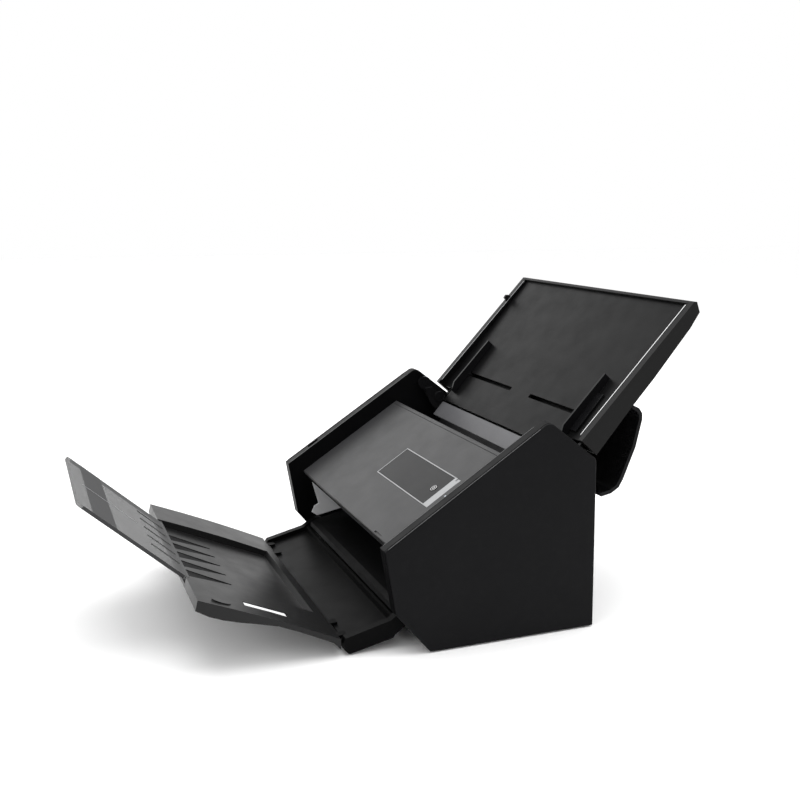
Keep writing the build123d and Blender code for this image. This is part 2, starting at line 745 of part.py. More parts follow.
def rack_bar(x0, x1, side):
    """A toothed bar; its pitch line runs across the machine beside the pinion."""
    pitch_r = module * pinion_teeth / 2
    pitch = module * pi
    s_pitch = pinion_at + side * pitch_r
    s_root = s_pitch + side * 1.25 * module
    s_back = s_root + side * 2.6
    bar = on_slope(tray_slope, x0, x1, min(s_root, s_back), max(s_root, s_back), *rack_n)
    slim = 0.22
    first = int(x0 / pitch) + 1
    last = int(x1 / pitch) - 1
    teeth = []
    for k in range(first, last + 1):
        xc = (k + 0.5) * pitch
        half = pitch / 4 - slim
        tip_half = half - module * tan(radians(20))
        root_half = half + 1.25 * module * tan(radians(20))
        s_tip = s_pitch - side * module
        outline = Polyline(
            [
                (xc - root_half, s_root + side * 0.2),
                (xc - tip_half, s_tip),
                (xc + tip_half, s_tip),
                (xc + root_half, s_root + side * 0.2),
            ],
            close=True,
        )
        tooth = Pos(0, 0, rack_n[0]) * extrude(make_face(outline), amount=rack_n[1] - rack_n[0], dir=(0, 0, 1))
        teeth.append(tray_slope * tooth)
    return bar + teeth


def involute(base_r, t):
    return base_r * (cos(t) + t * sin(t)), base_r * (sin(t) - t * cos(t))


def guide_pinion():
    pitch_r = module * pinion_teeth / 2
    base_r = pitch_r * cos(radians(20))
    tip_r = pitch_r + module
    root_r = pitch_r - 1.25 * module
    t_tip = ((tip_r / base_r) ** 2 - 1) ** 0.5
    t_pitch = ((pitch_r / base_r) ** 2 - 1) ** 0.5
    ix, iy = involute(base_r, t_pitch)
    backlash = 0.02
    half_tooth = pi / (2 * pinion_teeth) - backlash
    turn = atan2(iy, ix) + half_tooth
    points = []
    for k in range(pinion_teeth):
        centre = 2 * pi * k / pinion_teeth + pi / 2
        flank = [(root_r, 0.0)] + [involute(base_r, t_tip * j / 4) for j in range(5)]
        rise = [(hypot(x, y), atan2(y, x) - turn) for x, y in flank]
        fall = [(r, -a) for r, a in reversed(rise)]
        points += [(r * cos(centre + a), r * sin(centre + a)) for r, a in rise + fall]
    gear = extrude(make_face(Polyline(points, close=True)), amount=rack_n[1] - rack_n[0], dir=(0, 0, 1))
    gear -= Cylinder(2 + running, 10)
    return tray_slope * Pos(0, pinion_at, rack_n[0]) * gear


# ---- Rear hood ------------------------------------------------------------------------------------------

def rear_hood():
    outer = [(149.4, 176.7), (155.3, 173.8), (158.4, 169.4), (158.7, 164.3), (153.4, 141.2)]
    outer += [(142.7, 115.0), (138.9, 108.4), (131.7, 104.0), (122.5, 102.2)]
    inner = [(121.6, 105.2), (130.6, 107.0), (136.2, 110.4), (139.8, 116.2), (150.4, 142.2)]
    inner += [(155.6, 164.4), (155.2, 168.2), (153.2, 171.2), (148.2, 173.9)]
    shell = prism(outer + inner, -hood_half, hood_half)
    shell = round_near(shell, 3, [(142.7, 115.0)])
    for x in (-70, 70):
        arm = prism([(110.5, 106), (122, 107), (124, 103), (122, 101.9), (110.5, 98.2)], x - 9.4, x + 9.4)
        knuckle = rod(*hood_pivot, 4, x - 9.4, x + 9.4)
        shell += (arm + knuckle) - rod(*hood_pivot, 2 + running, x - 12, x + 12)
    ribs = [
        prism([(148.9, 174.2), (139.6, 115.4), (136.0, 110.0), (150.6, 142.0), (155.8, 164.6), (154, 171)], x, x + 2)
        for x in (-84, -1, 82)
    ]
    return shell + ribs


def hood_pins():
    return [rod(*hood_pivot, 2, x - 14.4, x + 14.4) for x in (-70, 70)]


# ---- Output flaps ---------------------------------------------------------------------------------------

flap2_knuckles = ((92.0, 108.0),)
flap1_lugs = ((84.0, 91.4), (108.6, 116.0))
arm_x = flap_half - 7


def lower_flap():
    """The first output flap: a pan with raised rims, turning on pins in two short arms."""
    outline = [(-99.9, 10.6), (-98.3, 13.2), (-57.0, 23.5), (-56.2, 20.0), (-56.8, 12.6), (-60.0, 7.8)]
    outline += [(-95.6, 0.0), (-99.4, 4.0)]
    body = prism(outline, -flap_half, flap_half)
    body = round_near(body, 1.6, [(-95.6, 0.0)])
    dish = [(-101.5, 9.6), (-97.0, 9.4), (-60.0, 18.6), (-58.6, 26.0), (-101.5, 16.0)]
    body -= prism(dish, -arm_x, arm_x)
    hollow = [(-93.0, 3.4), (-61.0, 11.2), (-60.0, 5.0), (-93.0, -4.0)]
    body -= prism(hollow, -flap_half + 4, flap_half - 4)
    arm = [(-62.0, 22.2), (-52.0, 29.2), (-46.1, 31.0), (-41.6, 29.0), (-40.8, 24.6), (-43.6, 20.9), (-60.0, 9.0)]
    for sx in (-1, 1):
        body += prism(arm, *sorted((sx * arm_x, sx * flap_half)))
        body -= rod(*flap1_pivot, pin_r + running, *sorted((sx * 118, sx * 128)))
        for a, b in flap1_lugs:
            x0, x1 = sorted((sx * a, sx * b))
            body += rod(*flap2_pivot, 3.0, x0, x1)
            body += prism([(-101.0, 5.5), (-101.0, 11.5), (-94, 12.0), (-94, 4.0)], x0, x1)
            body -= rod(*flap2_pivot, 1.5, x0 - 1, x1 + 1)
        for a, b in flap2_knuckles:
            x0, x1 = sorted((sx * (a - 0.5), sx * (b + 0.5)))
            body -= rod(*flap2_pivot, 3.6, x0, x1)
    return body


def flap_pins():
    pins = []
    for a, b in ((84.2, 115.8), (-115.8, -84.2)):
        pins.append(rod(*flap2_pivot, 1.5, a, b))
    return pins


flap2_under = [(-102.0, 4.8), (-108, 11.3), (-119.8, 17.2), (-135, 24.5), (-150, 31), (-165, 35), (-180, 38.7)]
flap2_under += [(-191, 42), (-201, 46), (-210.6, 51.8)]


def middle_flap():
    """The second output flap, arched underneath, with the pocket that takes the paper stop."""
    crown = [along(flap2_front, flap2_angle - 180, s, 1.2 * sin(pi * s / flap2_length)) for s in (0, 30, 60, 90)]
    outline = crown + [flap2_rear] + flap2_under
    body = prism(outline, -flap_half, flap_half)
    under = [(-104.6, 12.5), (-105.4, 9.6), (-119.8, 14.6), (-135, 21.2), (-150, 28.2), (-163, 33), (-176, 38)]
    under += [(-176, 41), (-112, 18)]
    body += prism(under, -82, 82)
    pocket = [(-3, 3), (flap2_length - 7.4, 3), (flap2_length - 9.4, -4.6), (8, -5.2), (-3, -5.2)]
    body -= prism([along(flap2_front, flap2_angle - 180, s, n) for s, n in pocket], -pocket_half, pocket_half)
    for x in groove_xs:
        wedge = Polyline([(x - 8.5, 5), (x + 8.5, 5), (x + 1, 46.5), (x - 1, 46.5)], close=True)
        cut = extrude(make_face(wedge), amount=3.2, dir=(0, 0, 1))
        body -= flap2_slope * Pos(0, 0, -5.9) * cut
    body -= on_slope(flap2_slope, 102.5, 110.5, 40, 76, -20, 5)
    oval = flap2_slope * Pos(117, 20, -0.4) * extrude(Ellipse(3.6, 7.5), amount=1.9)
    body += oval
    for sx in (-1, 1):
        for a, b in flap2_knuckles:
            x0, x1 = sorted((sx * a, sx * b))
            body += rod(*flap2_pivot, 3.0, x0, x1)
            body += prism([(-101.0, 5.5), (-101.0, 11.5), (-106, 14.0), (-106, 9.0)], x0, x1)
            body -= rod(*flap2_pivot, 1.5 + running, x0 - 1, x1 + 1)
        for a, b in flap1_lugs:
            x0, x1 = sorted((sx * (a - 0.5), sx * (b + 0.5)))
            body -= rod(*flap2_pivot, 3.6, x0, x1)
        lug0, lug1 = sorted((sx * 74.2, sx * pocket_half))
        lug = rod(*stop_pivot, 2.0, lug0, lug1) - rod(*stop_pivot, 1.0, lug0 - 1, lug1 + 1)
        body += lug
        body -= rod(*stop_pivot, 1.0, *sorted((sx * 74, sx * 80)))
    return body


def paper_stop():
    """The smoked stop plate, with thin ribs that drop into the flap's grooves."""
    plate = stop_slope * block(-stop_half, stop_half, 2.6, stop_length, -1.4, 1.4)
    corners = [
        e
        for e in plate.edges()
        if abs(abs(e.center().X) - stop_half) < 0.1 and e.length < 3 and stop_slope.to_local_coords(e.center()).Y > 50
    ]
    plate = fillet(corners, 4)
    for x in groove_xs:
        plate += stop_slope * block(-x - 0.6, -x + 0.6, 4, 32, 1.3, 2.3)
    knuckle = rod(*stop_pivot, 2.0, -stop_half, stop_half)
    web = stop_slope * block(-stop_half, stop_half, 0, 3, -1.4, 1.4)
    return plate + knuckle + web - rod(*stop_pivot, 1.0 + running, -80, 80)


def stop_pins():
    return [rod(*stop_pivot, 1.0, 66, 79.8), rod(*stop_pivot, 1.0, -79.8, -66)]


# ---- Everything written out -------------------------------------------------------------------------------

def main():
    os.makedirs("parts", exist_ok=True)
    pieces = {
        "bottom_cover": bottom_cover(),
        "rubber_feet": rubber_feet(),
        "right_side_cover": side_cover(),
        "left_side_cover": mirrored(side_cover()),
        "right_side_frame": side_frame(),
        "left_side_frame": left_side_frame(),
        "shaft_bushings": shaft_bushings(),
        "tray_pivot_pins": pivot_pins(tray_pivot, 3.0, 126.8),
        "pivot_pins": pivot_pins(cover_pivot, pin_r, 121.2) + pivot_pins(flap1_pivot, pin_r, 121.2),
        "rear_panel": rear_panel(),
        "housing_screws": rear_screws() + board_screws(),
        "power_inlet": power_inlet(),
        "usb_socket": usb_socket(),
        "lower_guide": lower_guide(),
        "feed_chute": feed_chute(),
        "feed_lip": feed_lip(),
        "chute_cheeks": both(chute_cheek()),
        "exit_deck": exit_deck(),
        "path_side_plates": both(path_side_plate()),
        "main_board": main_board(),
        "board_parts": board_parts(),
        "drive_belt": drive_belt(),
        "drive_motor": drive_motor(),
        "motor_rotor": motor_rotor(),
        "pick_shaft": base_shaft(pick_at),
        "pick_rollers": rubber_sleeves(roller_centre(pick_at, -1), pick_bands, 2),
        "feed_shaft": base_shaft(feed_at),
        "feed_rollers": rubber_sleeves(roller_centre(feed_at, -1), roller_bands, 1),
        "exit_shaft": base_shaft(exit_at),
        "exit_rollers": rubber_sleeves(roller_centre(exit_at, -1), roller_bands, 1),
        "upper_feed_roller": [cover_shaft(feed_at)] + rubber_sleeves(roller_centre(feed_at, 1), roller_bands, 1),
        "upper_exit_roller": [cover_shaft(exit_at)] + rubber_sleeves(roller_centre(exit_at, 1), roller_bands, 1),
        "separation_roller": separation_roller(),
        "cover_shell": cover_shell(),
        "screen_trim": screen_trim(),
        "screen_glass": screen_glass(),
        "display_panel": display_panel(),
        "touch_button": touch_button(),
        "button_switch": button_switch(),
        "status_lamp": status_lamp(),
        "upper_guide": upper_guide(),
        "upper_side_plates": both(upper_side_plate()),
        "tray_cover": tray_cover(),
        "tray_pan": tray_pan(),
        "side_rails": [side_rail(), mirrored(side_rail()) - hook_notch],
        "hinge_arms": both(hinge_arm()),
        "right_guide": size_guide(1) + rack_bar(-8, 106.2, 1),
        "left_guide": mirrored(size_guide(-1)) + rack_bar(-106.2, 8, -1),
        "guide_pinion": guide_pinion(),
        "rear_hood": rear_hood(),
        "hood_pins": hood_pins(),
        "lower_flap": lower_flap(),
        "flap_hinge_pins": flap_pins(),
        "middle_flap": middle_flap(),
        "paper_stop": paper_stop(),
        "stop_pins": stop_pins(),
    }
    low_sensor, low_glass = sensor_module(sensor_low_at, -1)
    pieces["lower_image_sensor"] = low_sensor
    pieces["lower_sensor_glass"] = low_glass
    up_sensor, up_glass = sensor_module(sensor_up_at, 1)
    pieces["upper_image_sensor"] = up_sensor
    pieces["upper_sensor_glass"] = up_glass
    for name, shapes in pieces.items():
        save(shapes, name)


main()
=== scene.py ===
import bpy
import bmesh
import json
from math import atan2, cos, pi, radians, sin
from mathutils import Matrix, Vector


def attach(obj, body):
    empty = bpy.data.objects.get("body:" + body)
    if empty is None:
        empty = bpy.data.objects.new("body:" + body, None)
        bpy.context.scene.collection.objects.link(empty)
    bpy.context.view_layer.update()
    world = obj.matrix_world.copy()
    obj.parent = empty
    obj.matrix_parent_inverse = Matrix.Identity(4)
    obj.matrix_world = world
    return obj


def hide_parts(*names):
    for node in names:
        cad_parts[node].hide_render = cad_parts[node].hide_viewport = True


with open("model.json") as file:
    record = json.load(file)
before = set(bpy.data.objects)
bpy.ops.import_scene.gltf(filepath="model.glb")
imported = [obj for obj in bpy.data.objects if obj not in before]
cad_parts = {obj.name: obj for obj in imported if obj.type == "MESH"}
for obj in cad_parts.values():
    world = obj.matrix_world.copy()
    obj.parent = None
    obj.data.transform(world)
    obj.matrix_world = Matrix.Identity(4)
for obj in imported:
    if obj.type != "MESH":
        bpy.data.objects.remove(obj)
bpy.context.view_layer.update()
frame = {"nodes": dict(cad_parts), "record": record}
scene = bpy.context.scene
mm = 0.001  # sizes and places below are in millimetres unless a note says otherwise


def deselectAll():
    if bpy.context.object and bpy.context.object.mode != "OBJECT":
        bpy.ops.object.mode_set(mode="OBJECT")
    bpy.ops.object.select_all(action="DESELECT")


def makeActive(piece):
    deselectAll()
    piece.select_set(True)
    bpy.context.view_layer.objects.active = piece


def placePiece(piece, place):
    # a piece made about its own origin is set on a plane of the machine, and its place goes into its mesh
    piece.matrix_world = place
    bpy.context.view_layer.update()
    makeActive(piece)
    bpy.ops.object.transform_apply(location=True, rotation=True, scale=True)


def linkPiece(name, mesh):
    piece = bpy.data.objects.new(name, mesh)
    scene.collection.objects.link(piece)
    makeActive(piece)
    return piece


def slab(name, size, centre=(0, 0, 0)):
    deselectAll()
    bpy.ops.mesh.primitive_cube_add(size=1, location=[c * mm for c in centre])
    piece = bpy.context.object
    piece.name = name
    piece.data.name = name
    piece.scale = [s * mm for s in size]
    bpy.ops.object.transform_apply(location=True, rotation=False, scale=True)
    return piece


def roundEdges(piece, width, segments=3, angle=30):
    # normals follow the largest face at each point, so flat faces stay flat and only the edges look round
    makeActive(piece)
    bpy.ops.object.shade_smooth()
    bevel = piece.modifiers.new("softEdge", "BEVEL")
    bevel.width = width * mm
    bevel.segments = segments
    bevel.limit_method = "ANGLE"
    bevel.angle_limit = radians(angle)
    weighted = piece.modifiers.new("flatFaces", "WEIGHTED_NORMAL")
    weighted.weight = 100  # the largest face decides alone
    for modifier in list(piece.modifiers):
        bpy.ops.object.modifier_apply(modifier=modifier.name)


def outlinePiece(name, points, depth):
    # a flat outline in local x and y, given depth along local -z
    mesh = bpy.data.meshes.new(name)
    sheet = bmesh.new()
    sheet.faces.new([sheet.verts.new((x * mm, y * mm, 0)) for x, y in points])
    sheet.to_mesh(mesh)
    sheet.free()
    piece = linkPiece(name, mesh)
    bpy.ops.object.mode_set(mode="EDIT")
    bpy.ops.mesh.select_all(action="SELECT")
    bpy.ops.mesh.extrude_region_move(TRANSFORM_OT_translate={"value": (0, 0, -depth * mm)})
    bpy.ops.mesh.select_all(action="SELECT")
    bpy.ops.mesh.normals_make_consistent(inside=False)
    bpy.ops.object.mode_set(mode="OBJECT")
    return piece


def joinPieces(pieces, name):
    deselectAll()
    for piece in pieces:
        piece.select_set(True)
    bpy.context.view_layer.objects.active = pieces[0]
    bpy.ops.object.join()
    pieces[0].name = name
    pieces[0].data.name = name
    return pieces[0]


def finish(piece, body, material):
    piece.data.materials.clear()
    piece.data.materials.append(material)
    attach(piece, body)


cameraSet = {
    "lens": 45.6,
    "sensor": 36,
    "place": (0.8138, -0.27452, 0.3381),  # metres
    "turn": (79.065, -0.151, 68.965),
}


def addCamera():
    cameraData = bpy.data.cameras.new("camera")
    cameraData.lens = cameraSet["lens"]
    cameraData.sensor_width = cameraSet["sensor"]
    camera = bpy.data.objects.new("camera", cameraData)
    camera.location = cameraSet["place"]
    camera.rotation_euler = [radians(a) for a in cameraSet["turn"]]
    scene.collection.objects.link(camera)
    scene.camera = camera


lightSet = {  # places, aims and sizes in metres, power in watts
    "overhead": {"place": (0.0, 0.1, 1.5), "aim": (0, 0, 0.1), "size": 1.6, "power": 16},
    "front": {"place": (0.7, -1.6, 0.9), "aim": (0, 0, 0.1), "size": 0.9, "power": 3},
    "leftFill": {"place": (-1.6, -0.3, 0.8), "aim": (0, 0, 0.1), "size": 1.2, "power": 5},
    "rear": {"place": (0.3, 1.7, 1.2), "aim": (0, 0, 0.15), "size": 1.0, "power": 8},
}
worldSet = {"colour": (1, 1, 1, 1), "strength": 1.0}


def addLights():
    for name, one in lightSet.items():
        light = bpy.data.lights.new(name, "AREA")
        light.size = one["size"]
        light.energy = one["power"]
        holder = bpy.data.objects.new(name, light)
        holder.location = one["place"]
        aim = Vector(one["aim"]) - Vector(one["place"])
        holder.rotation_euler = aim.to_track_quat("-Z", "Y").to_euler()
        scene.collection.objects.link(holder)
    world = bpy.data.worlds.new("studio")
    scene.world = world
    world.use_nodes = True
    background = world.node_tree.nodes["Background"]
    background.inputs["Color"].default_value = worldSet["colour"]
    background.inputs["Strength"].default_value = worldSet["strength"]


floorSet = {"size": 12, "colour": (1.0, 1.0, 1.0, 1), "rough": 0.9}  # size in metres


def addFloor():
    deselectAll()
    bpy.ops.mesh.primitive_plane_add(size=floorSet["size"], location=(0, 0, 0))
    floor = bpy.context.object
    floor.name = "studioFloor"
    material, tree, shader = newMaterial("palePaper")
    shader.inputs["Base Color"].default_value = floorSet["colour"]
    shader.inputs["Roughness"].default_value = floorSet["rough"]
    floor.data.materials.append(material)


def newMaterial(name):
    material = bpy.data.materials.new(name)
    material.use_nodes = True
    tree = material.node_tree
    return material, tree, tree.nodes["Principled BSDF"]


scene.view_settings.view_transform = "Standard"
addCamera()
addLights()
addFloor()
print("camera, lights and floor are set")


def feedSocket(tree, socket, given):
    # a socket takes a link from another node or a fixed value
    if hasattr(given, "is_output"):
        tree.links.new(given, socket)
    else:
        socket.default_value = given


def newGroup(name, inputs, outputs):
    group = bpy.data.node_groups.new(name, "ShaderNodeTree")
    for label, kind, value in inputs:
        socket = group.interface.new_socket(name=label, in_out="INPUT", socket_type=kind)
        socket.default_value = value
    for label, kind in outputs:
        group.interface.new_socket(name=label, in_out="OUTPUT", socket_type=kind)
    return group, group.nodes.new("NodeGroupInput"), group.nodes.new("NodeGroupOutput")


def useGroup(tree, group, **values):
    node = tree.nodes.new("ShaderNodeGroup")
    node.node_tree = group
    for label, value in values.items():
        node.inputs[label.replace("_", " ")].default_value = value
    return node


def objectPlace(tree):
    return tree.nodes.new("ShaderNodeTexCoord").outputs["Object"]


def stretchPlace(tree, place, stretch):
    mapping = tree.nodes.new("ShaderNodeMapping")
    mapping.inputs["Scale"].default_value = stretch
    tree.links.new(place, mapping.inputs["Vector"])
    return mapping.outputs[0]


def noise(tree, place, scale, detail=2.0):
    node = tree.nodes.new("ShaderNodeTexNoise")
    node.inputs["Detail"].default_value = detail
    feedSocket(tree, node.inputs["Scale"], scale)
    tree.links.new(place, node.inputs["Vector"])
    return node.outputs["Fac"]


def cellNode(tree, place, scale):
    node = tree.nodes.new("ShaderNodeTexVoronoi")
    feedSocket(tree, node.inputs["Scale"], scale)
    tree.links.new(place, node.inputs["Vector"])
    return node


def mapRange(tree, value, given, toLow, toHigh):
    node = tree.nodes.new("ShaderNodeMapRange")
    node.inputs["From Min"].default_value = given[0]
    node.inputs["From Max"].default_value = given[1]
    tree.links.new(value, node.inputs["Value"])
    feedSocket(tree, node.inputs["To Min"], toLow)
    feedSocket(tree, node.inputs["To Max"], toHigh)
    return node.outputs["Result"]


def calculate(tree, operation, first, second):
    node = tree.nodes.new("ShaderNodeMath")
    node.operation = operation
    feedSocket(tree, node.inputs[0], first)
    feedSocket(tree, node.inputs[1], second)
    return node.outputs[0]


mixSockets = {"factor": 0, "first": 6, "second": 7, "result": 2}  # the colour sockets of a Mix node


def mixColours(tree, factor, first, second):
    node = tree.nodes.new("ShaderNodeMix")
    node.data_type = "RGBA"
    feedSocket(tree, node.inputs[mixSockets["factor"]], factor)
    feedSocket(tree, node.inputs[mixSockets["first"]], first)
    feedSocket(tree, node.inputs[mixSockets["second"]], second)
    return node.outputs[mixSockets["result"]]


def bumpNormal(tree, height, strength, distance):
    bump = tree.nodes.new("ShaderNodeBump")
    bump.inputs["Distance"].default_value = distance
    feedSocket(tree, bump.inputs["Strength"], strength)
    tree.links.new(height, bump.inputs["Height"])
    return bump.outputs["Normal"]


skinSet = {
    "cloud": (14.0, 3.0),  # scale and detail of the slow change in tone
    "smear": (55.0, 4.0),  # of the change in gloss
    "fine": (900.0, 2.0),  # of the fine part of the grain
    "spread": (0.3, 0.7),
    "depth": 0.00004,
}


def makeMouldedSkin():
    # spark-eroded tool texture of moulded plastic: pebbled grain, slight mottling, uneven gloss
    group, given, out = newGroup(
        "mouldedSkin",
        (
            ("Color", "NodeSocketColor", (0.1, 0.1, 0.1, 1)),
            ("Mottle", "NodeSocketFloat", 0.06),
            ("Roughness", "NodeSocketFloat", 0.5),
            ("Unevenness", "NodeSocketFloat", 0.06),
            ("Grain Scale", "NodeSocketFloat", 2600.0),
            ("Grain Height", "NodeSocketFloat", 0.3),
        ),
        (("Color", "NodeSocketColor"), ("Roughness", "NodeSocketFloat"), ("Normal", "NodeSocketVector")),
    )
    place = objectPlace(group)
    low = calculate(group, "SUBTRACT", 1.0, given.outputs["Mottle"])
    high = calculate(group, "ADD", 1.0, given.outputs["Mottle"])
    cloud = noise(group, place, *skinSet["cloud"])
    tint = group.nodes.new("ShaderNodeVectorMath")
    tint.operation = "SCALE"
    group.links.new(given.outputs["Color"], tint.inputs[0])
    group.links.new(mapRange(group, cloud, skinSet["spread"], low, high), tint.inputs["Scale"])
    group.links.new(tint.outputs[0], out.inputs["Color"])
    lowRough = calculate(group, "SUBTRACT", given.outputs["Roughness"], given.outputs["Unevenness"])
    highRough = calculate(group, "ADD", given.outputs["Roughness"], given.outputs["Unevenness"])
    smear = noise(group, place, *skinSet["smear"])
    gloss = mapRange(group, smear, skinSet["spread"], lowRough, highRough)
    group.links.new(gloss, out.inputs["Roughness"])
    pebble = cellNode(group, place, given.outputs["Grain Scale"])
    fine = noise(group, place, *skinSet["fine"])
    height = calculate(group, "ADD", pebble.outputs["Distance"], fine)
    normal = bumpNormal(group, height, given.outputs["Grain Height"], skinSet["depth"])
    group.links.new(normal, out.inputs["Normal"])
    return group


handlingSet = {
    "stretch": (1.0, 6.0, 6.0),
    "streakDetail": 6.0,
    "streaks": (0.52, 0.75),
    "specks": (0.68, 0.74),
    "speckNoise": (700.0, 1.0),
    "speckShare": 0.5,
}


def makeHandling():
    # faint rub marks and settled dust, as a mask
    group, given, out = newGroup(
        "handlingMarks",
        (("Amount", "NodeSocketFloat", 0.2), ("Scale", "NodeSocketFloat", 30.0)),
        (("Mask", "NodeSocketFloat"),),
    )
    place = objectPlace(group)
    drawn = stretchPlace(group, place, handlingSet["stretch"])
    streaks = noise(group, drawn, given.outputs["Scale"], handlingSet["streakDetail"])
    specks = noise(group, place, *handlingSet["speckNoise"])
    soft = mapRange(group, streaks, handlingSet["streaks"], 0.0, 1.0)
    sharp = mapRange(group, specks, handlingSet["specks"], 0.0, 1.0)
    both = calculate(group, "MAXIMUM", soft, calculate(group, "MULTIPLY", sharp, handlingSet["speckShare"]))
    group.links.new(calculate(group, "MULTIPLY", both, given.outputs["Amount"]), out.inputs["Mask"])
    return group


mouldedSkin = makeMouldedSkin()
handlingMarks = makeHandling()


def plastic(name, colour, rough, uneven, mottle, grain, scale, shine, marks, dust=(0.35, 0.35, 0.35)):
    material, tree, shader = newMaterial(name)
    skin = useGroup(
        tree, mouldedSkin, Color=(*colour, 1), Mottle=mottle, Roughness=rough, Unevenness=uneven,
        Grain_Scale=scale, Grain_Height=grain,
    )
    rub = useGroup(tree, handlingMarks, Amount=marks)
    worn = mixColours(tree, rub.outputs["Mask"], skin.outputs["Color"], (*dust, 1))
    tree.links.new(worn, shader.inputs["Base Color"])
    tree.links.new(skin.outputs["Roughness"], shader.inputs["Roughness"])
    tree.links.new(skin.outputs["Normal"], shader.inputs["Normal"])
    shader.inputs["Specular IOR Level"].default_value = shine
    return material


rubberSet = {
    "uneven": 0.06,
    "mottle": 0.12,
    "grain": 0.5,
    "shine": 0.35,
    "marks": 0.18,
    "dust": (0.3, 0.3, 0.29),
}


def rubber(name, colour, rough, scale):
    return plastic(
        name, colour, rough, rubberSet["uneven"], rubberSet["mottle"], rubberSet["grain"], scale,
        rubberSet["shine"], rubberSet["marks"], rubberSet["dust"],
    )


metalSet = {
    "lines": (90.0, 4.0),  # scale and detail of the drawing lines
    "spread": (0.3, 0.7),
    "blend": (0.35, 0.65),
    "gloss": (0.7, 1.35),  # share of the roughness on and between them
    "dark": 0.75,
    "rub": 0.5,
    "rubScale": 60.0,
    "bump": (0.15, 0.00003),
}


def metal(name, colour, rough, stretch, marks):
    # drawn or turned metal: fine lines along one axis in gloss and height
    material, tree, shader = newMaterial(name)
    lines = noise(tree, stretchPlace(tree, objectPlace(tree), stretch), *metalSet["lines"])
    lowGloss, highGloss = (rough * share for share in metalSet["gloss"])
    tree.links.new(mapRange(tree, lines, metalSet["spread"], lowGloss, highGloss), shader.inputs["Roughness"])
    dark = [c * metalSet["dark"] for c in colour]
    rubbed = [c * metalSet["rub"] for c in colour]
    rub = useGroup(tree, handlingMarks, Amount=marks, Scale=metalSet["rubScale"])
    between = mapRange(tree, lines, metalSet["blend"], 0.0, 1.0)
    shade = mixColours(tree, between, (*dark, 1), (*colour, 1))
    worn = mixColours(tree, rub.outputs["Mask"], shade, (*rubbed, 1))
    tree.links.new(worn, shader.inputs["Base Color"])
    tree.links.new(bumpNormal(tree, lines, *metalSet["bump"]), shader.inputs["Normal"])
    shader.inputs["Metallic"].default_value = 1.0
    return material


smokeSet = {
    "smear": (40.0, 4.0),
    "spread": (0.3, 0.7),
    "tints": ((0.13, 0.13, 0.131, 1), (0.14, 0.14, 0.141, 1)),
    "rough": (0.3, 0.4),
    "alpha": 0.72,
}


def smokedClear():
    # grey see-through plastic, a little cloudy
    material, tree, shader = newMaterial("smokedClear")
    smear = noise(tree, objectPlace(tree), *smokeSet["smear"])
    cloud = mapRange(tree, smear, smokeSet["spread"], 0.0, 1.0)
    tree.links.new(mixColours(tree, cloud, *smokeSet["tints"]), shader.inputs["Base Color"])
    tree.links.new(mapRange(tree, smear, smokeSet["spread"], *smokeSet["rough"]), shader.inputs["Roughness"])
    shader.inputs["Specular IOR Level"].default_value = 0.0
    shader.inputs["Alpha"].default_value = smokeSet["alpha"]
    return material


laminateSet = {
    "runScale": 160.0,
    "runs": (0.05, 0.09),
    "padScale": 240.0,
    "pads": (0.16, 0.2),
    "mask": (0.012, 0.10, 0.035, 1),
    "copper": (0.03, 0.2, 0.07, 1),
    "solder": (0.55, 0.52, 0.42, 1),
    "rough": (0.35, 0.25),
    "bump": (0.4, 0.00003),
}


def boardLaminate():
    # green solder mask with fine copper runs and round pads under it
    material, tree, shader = newMaterial("boardLaminate")
    place = objectPlace(tree)
    cells = cellNode(tree, place, laminateSet["runScale"])
    cells.distance = "MANHATTAN"
    cells.feature = "DISTANCE_TO_EDGE"
    pads = cellNode(tree, place, laminateSet["padScale"])
    runs = mapRange(tree, cells.outputs["Distance"], laminateSet["runs"], 1.0, 0.0)
    dots = mapRange(tree, pads.outputs["Distance"], laminateSet["pads"], 1.0, 0.0)
    masked = mixColours(tree, runs, laminateSet["mask"], laminateSet["copper"])
    tree.links.new(mixColours(tree, dots, masked, laminateSet["solder"]), shader.inputs["Base Color"])
    tree.links.new(mapRange(tree, runs, (0.0, 1.0), *laminateSet["rough"]), shader.inputs["Roughness"])
    tree.links.new(bumpNormal(tree, runs, *laminateSet["bump"]), shader.inputs["Normal"])
    return material


glassSet = {
    "cast": (18.0, 1.0),
    "blend": (0.35, 0.65),
    "tints": ((0.012, 0.02, 0.022, 1), (0.02, 0.014, 0.03, 1)),
    "marks": 0.1,
    "markScale": 50.0,
    "rough": (0.04, 0.2),
    "shine": 0.8,
}


def sensorGlass():
    # coated glass strip with a faint rainbow cast along it
    material, tree, shader = newMaterial("sensorGlass")
    cloud = noise(tree, objectPlace(tree), *glassSet["cast"])
    cast = mapRange(tree, cloud, glassSet["blend"], 0.0, 1.0)
    tree.links.new(mixColours(tree, cast, *glassSet["tints"]), shader.inputs["Base Color"])
    rub = useGroup(tree, handlingMarks, Amount=glassSet["marks"], Scale=glassSet["markScale"])
    gloss = mapRange(tree, rub.outputs["Mask"], (0.0, glassSet["marks"]), *glassSet["rough"])
    tree.links.new(gloss, shader.inputs["Roughness"])
    shader.inputs["Specular IOR Level"].default_value = glassSet["shine"]
    return material


